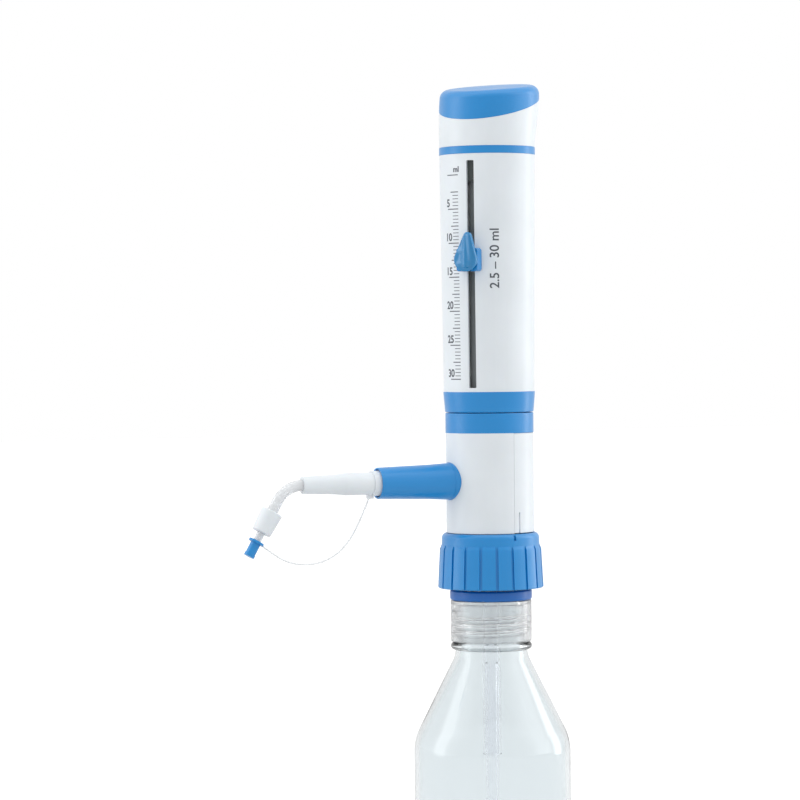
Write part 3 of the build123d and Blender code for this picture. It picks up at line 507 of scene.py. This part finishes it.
def printed_lines():
    """The scale's lines: one each 0.5 ml from 2.5 ml, longer at each 2.5 and 5 ml."""
    points, faces = [], []
    sunk = -0.05  # the strips' backs lie this far under the sleeve's face

    def line(height, left, thickness):
        steps = max(2, round((LINE_RIGHT - left) / 1.5))
        first = len(points)
        for i in range(steps + 1):
            direction = left + (LINE_RIGHT - left) * i / steps
            for z in (height - thickness / 2, height + thickness / 2):
                points.append(on_sleeve(direction, z, sunk))
                points.append(on_sleeve(direction, z, INK))
        for i in range(steps):
            a = first + 4 * i
            b = a + 4
            for p, q in ((0, 1), (1, 3), (3, 2), (2, 0)):
                faces.append((a + p, a + q, b + q, b + p))
        for end in (first, first + 4 * steps):
            faces.append((end, end + 1, end + 3, end + 2))

    for half in range(5, 61):
        left = LINE_LONG if half % 10 == 0 else LINE_MIDDLE if half % 5 == 0 else LINE_SHORT
        line(ZERO_Z - half / 2 * ML, left, LINE_BOLD if half % 5 == 0 else LINE_FINE)
    line(ZERO_Z, LINE_LONG, LINE_BOLD)
    mesh = mesh_of("scale_lines", points, faces)
    show("scale_lines", mesh, "print_ink", "plunger", crease=20)


def lettering(name, words, height, direction, z, turn=0.0, bold=0.14):
    """Print wrapped on the sleeve: its middle is at a direction and a height."""
    depth, cap_share, cut = 0.04, 0.72, 0.6  # cap_share: a capital's height over the font's size
    font = bpy.data.curves.new(name, "FONT")
    font.body = words
    font.size = height / cap_share
    font.align_x = "CENTER"
    font.align_y = "CENTER"
    font.extrude = depth
    font.resolution_u = 6
    font.offset = bold
    holder = bpy.data.objects.new(name, font)
    mesh = bpy.data.meshes.new_from_object(holder)
    bpy.data.objects.remove(holder)
    work = bmesh.new()
    work.from_mesh(mesh)
    bmesh.ops.rotate(work, verts=work.verts, matrix=Matrix.Rotation(radians(turn), 3, "Z"))
    left = min(v.co.x for v in work.verts)
    right = max(v.co.x for v in work.verts)
    cuts = round((right - left) / cut)
    for i in range(1, cuts):
        # the print follows the sleeve's round face, so its long flat faces are cut up first
        place = (left + (right - left) * i / cuts, 0, 0)
        everything = [*work.verts, *work.edges, *work.faces]
        bmesh.ops.bisect_plane(work, geom=everything, plane_co=place, plane_no=(1, 0, 0))
    for vertex in work.verts:
        flat = vertex.co.copy()
        a = direction + degrees(flat.x / sleeve_radius(z + flat.y))
        vertex.co = Vector(on_sleeve(a, z + flat.y, INK - depth + flat.z)) * MM
    work.to_mesh(mesh)
    work.free()
    show(name, mesh, "print_ink", "plunger", crease=20)


def printed_words():
    for ml in range(5, 31, 5):
        z = ZERO_Z - ml * ML + 3.1
        lettering(f"scale_{ml}", str(ml), height=4.2, direction=190.0, z=z)
    lettering("scale_unit", "ml", height=3.0, direction=204.5, z=ZERO_Z + 2.9)
    words = "2.5 – 30 ml"
    lettering("volume_range", words, height=5.2, direction=253.5, z=362.0, turn=90.0, bold=0.07)


# ---- cap tether ----
TETHER_D = 1.0
# the tether's route in the nozzle's upright plane: distance out from the pump's axis, height
TETHER_ROUTE = [
    (72.4, 232.6),
    (75.6, 225.4),
    (79.4, 217.6),
    (84.6, 209.4),
    (91.4, 203.0),
    (100.2, 198.9),
    (110.4, 198.0),
    (119.4, 199.6),
    (127.2, 203.8),
    (134.0, 208.75),
]


def tube_along(name, path, radius):
    """A closed round tube along points in mm that lie in the nozzle's upright plane."""
    sides = 14
    points, faces = [], []
    side = Vector((0, 1, 0))
    last = len(path) - 1
    for i, here in enumerate(path):
        ahead = (path[min(i + 1, last)] - path[max(i - 1, 0)]).normalized()
        up = ahead.cross(side)
        for k in range(sides):
            a = 2 * pi * k / sides
            points.append(here + (side * cos(a) + up * sin(a)) * radius)
    for i in range(last):
        low, high = i * sides, (i + 1) * sides
        for k in range(sides):
            m = (k + 1) % sides
            faces.append((low + k, low + m, high + m, high + k))
    faces.append(tuple(range(sides)))
    faces.append(tuple(range(last * sides, len(path) * sides)))
    return mesh_of(name, points, faces)


def tether_piece():
    curve = bpy.data.curves.new("tether_route", "CURVE")
    curve.dimensions = "3D"
    curve.resolution_u = 16
    spline = curve.splines.new("NURBS")
    spline.points.add(len(TETHER_ROUTE) - 1)
    for point, (out, z) in zip(spline.points, TETHER_ROUTE):
        point.co = (-out * MM, 0, z * MM, 1)
    spline.order_u = 3
    spline.use_endpoint_u = True
    holder = bpy.data.objects.new("tether_route", curve)
    line = bpy.data.meshes.new_from_object(holder)
    path = [v.co / MM for v in line.vertices]
    bpy.data.objects.remove(holder)
    mesh = tube_along("tether", path, TETHER_D / 2)
    nodes = ["cap_tether"]
    cord = show("tether", mesh, "clear_plastic", None, nodes, crease=50)
    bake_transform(cord)


# ---- CAD nodes that stay ----
ROUNDING = 0.25
OWN_ROUNDING = {
    "adapter_ring": 0,
    "lower_housing": 0.2,
    "screw_collar": 0.4,
    "rear_cover": 0.2,
    "cap_tether": 0,
    "outlet_spring": 0,
    "inlet_ball": 0,
    "outlet_ball": 0,
}


def cad_nodes():
    for node, shape in NODES.items():
        if not shape.hide_render:
            polish(node, OWN_ROUNDING.get(node, ROUNDING))


# ---- studio ----
# The lights and the camera are placed in metres.
TOWARD = Vector((-0.4226, -0.9063, 0))  # from the pump's axis to the viewer
RIGHT = Vector((0.9063, -0.4226, 0))  # the viewer's right
# the room's grey from behind the object (0) to behind the viewer (1)
ROOM_GREYS = [(0.0, 0.32), (0.36, 0.4), (0.47, 0.66), (0.6, 0.66), (0.78, 0.34), (1.0, 0.26)]
ROOM_STRENGTH = (2.62, 2.84)  # at the viewer's left and right
FLOOR_GREY = 0.68
FLOOR_LIFT = 0.45  # seen by the camera
FLOOR_LIFT_THROUGH = 0.12  # seen through glass


def surround():
    """A soft room: light at the sides, greyer behind the object and behind the viewer.

    The camera itself sees plain white.
    """
    world = bpy.data.worlds.new("surround")
    world.use_nodes = True
    tree = world.node_tree
    place = tree.nodes.new("ShaderNodeTexCoord")

    def facing(direction):
        dot = tree.nodes.new("ShaderNodeVectorMath")
        dot.operation = "DOT_PRODUCT"
        dot.inputs[1].default_value = direction
        tree.links.new(place.outputs["Generated"], dot.inputs[0])
        share = tree.nodes.new("ShaderNodeMapRange")
        share.inputs["From Min"].default_value = -1
        tree.links.new(dot.outputs["Value"], share.inputs["Value"])
        return share.outputs["Result"]

    depth = tree.nodes.new("ShaderNodeValToRGB")
    ramp = depth.color_ramp
    ramp.elements.remove(ramp.elements[1])
    for i, (at, grey) in enumerate(ROOM_GREYS):
        stop = ramp.elements[0] if i == 0 else ramp.elements.new(at)
        stop.position = at
        stop.color = (grey, grey, grey, 1)
    tree.links.new(facing(TOWARD), depth.inputs["Fac"])
    side = tree.nodes.new("ShaderNodeMapRange")
    side.inputs["To Min"].default_value = ROOM_STRENGTH[0]
    side.inputs["To Max"].default_value = ROOM_STRENGTH[1]
    tree.links.new(facing(RIGHT), side.inputs["Value"])
    light = tree.nodes["Background"]
    tree.links.new(depth.outputs["Color"], light.inputs["Color"])
    tree.links.new(side.outputs["Result"], light.inputs["Strength"])
    backdrop = tree.nodes.new("ShaderNodeBackground")
    backdrop.inputs["Color"].default_value = (1, 1, 1, 1)
    rays = tree.nodes.new("ShaderNodeLightPath")
    choice = tree.nodes.new("ShaderNodeMixShader")
    tree.links.new(rays.outputs["Is Camera Ray"], choice.inputs["Fac"])
    tree.links.new(light.outputs["Background"], choice.inputs[1])
    tree.links.new(backdrop.outputs["Background"], choice.inputs[2])
    tree.links.new(choice.outputs["Shader"], tree.nodes["World Output"].inputs["Surface"])
    return world


def floor_paint():
    """Grey card in the light it throws on the part, but white to the camera.

    Through glass it is lifted a little.
    """
    grey = (FLOOR_GREY, FLOOR_GREY, FLOOR_GREY, 1)
    tree, shader, _ = material("floor_paint", grey, Roughness=0.9, Specular_IOR_Level=0.0)
    shader.inputs["Emission Color"].default_value = (1, 1, 1, 1)
    rays = tree.nodes.new("ShaderNodeLightPath")
    lift = tree.nodes.new("ShaderNodeMath")
    lift.operation = "MULTIPLY"
    lift.inputs[1].default_value = FLOOR_LIFT
    through = tree.nodes.new("ShaderNodeMath")
    through.operation = "MULTIPLY_ADD"
    through.inputs[1].default_value = FLOOR_LIFT_THROUGH
    tree.links.new(rays.outputs["Is Camera Ray"], lift.inputs[0])
    tree.links.new(rays.outputs["Is Transmission Ray"], through.inputs[0])
    tree.links.new(lift.outputs["Value"], through.inputs[2])
    tree.links.new(through.outputs["Value"], shader.inputs["Emission Strength"])


def studio():
    reach = 9000
    corners = [(-reach, -reach, 0), (reach, -reach, 0), (reach, reach, 0), (-reach, reach, 0)]
    floor = bpy.data.objects.new("floor", mesh_of("floor", corners, [(0, 1, 2, 3)]))
    bpy.context.scene.collection.objects.link(floor)
    floor.location.z = -0.3 * MM
    floor_paint()
    floor.data.materials.append(MATERIALS["floor_paint"])
    scene = bpy.context.scene
    scene.world = surround()
    scene.view_settings.view_transform = "Standard"
    scene.cycles.max_bounces = 24
    scene.cycles.transmission_bounces = 24
    scene.cycles.diffuse_bounces = 10


def area_light(name, right, toward, up, size, power):
    """A strip light aimed at the pump, that far to the viewer's right, towards them and up."""
    data = bpy.data.lights.new(name, "AREA")
    data.shape = "RECTANGLE"
    data.size, data.size_y = size
    data.energy = power
    lamp = bpy.data.objects.new(name, data)
    bpy.context.scene.collection.objects.link(lamp)
    lamp.location = RIGHT * right + TOWARD * toward + Vector((0, 0, up))
    lamp.rotation_mode = "QUATERNION"
    aim = Vector((0, 0, 0.3)) - lamp.location
    lamp.rotation_quaternion = aim.to_track_quat("-Z", "Y")


def camera():
    """The viewpoint: the nozzle points left, and the scale faces the viewer's left."""
    distance, eye_height, aim_right, aim_height, roll = 1.8, 0.3154, -0.049, 0.2853, -0.55
    data = bpy.data.cameras.new("camera")
    data.lens = 147.5
    data.sensor_width = 36
    eye = bpy.data.objects.new("camera", data)
    bpy.context.scene.collection.objects.link(eye)
    eye.location = TOWARD * distance + Vector((0, 0, eye_height))
    aim = RIGHT * aim_right + Vector((0, 0, aim_height)) - eye.location
    turn = aim.to_track_quat("-Z", "Y").to_matrix() @ Matrix.Rotation(radians(roll), 3, "Z")
    eye.rotation_mode = "QUATERNION"
    eye.rotation_quaternion = turn.to_quaternion()
    bpy.context.scene.camera = eye


bottle_piece()
adapter_piece()
knob_piece()
tether_piece()
printed_lines()
printed_words()
cad_nodes()
studio()
camera()
area_light("right_strip", right=0.95, toward=-0.4, up=0.4, size=(0.3, 1.2), power=2.5)
area_light("left_strip", right=-1.0, toward=0.1, up=0.5, size=(0.4, 1.0), power=1.0)
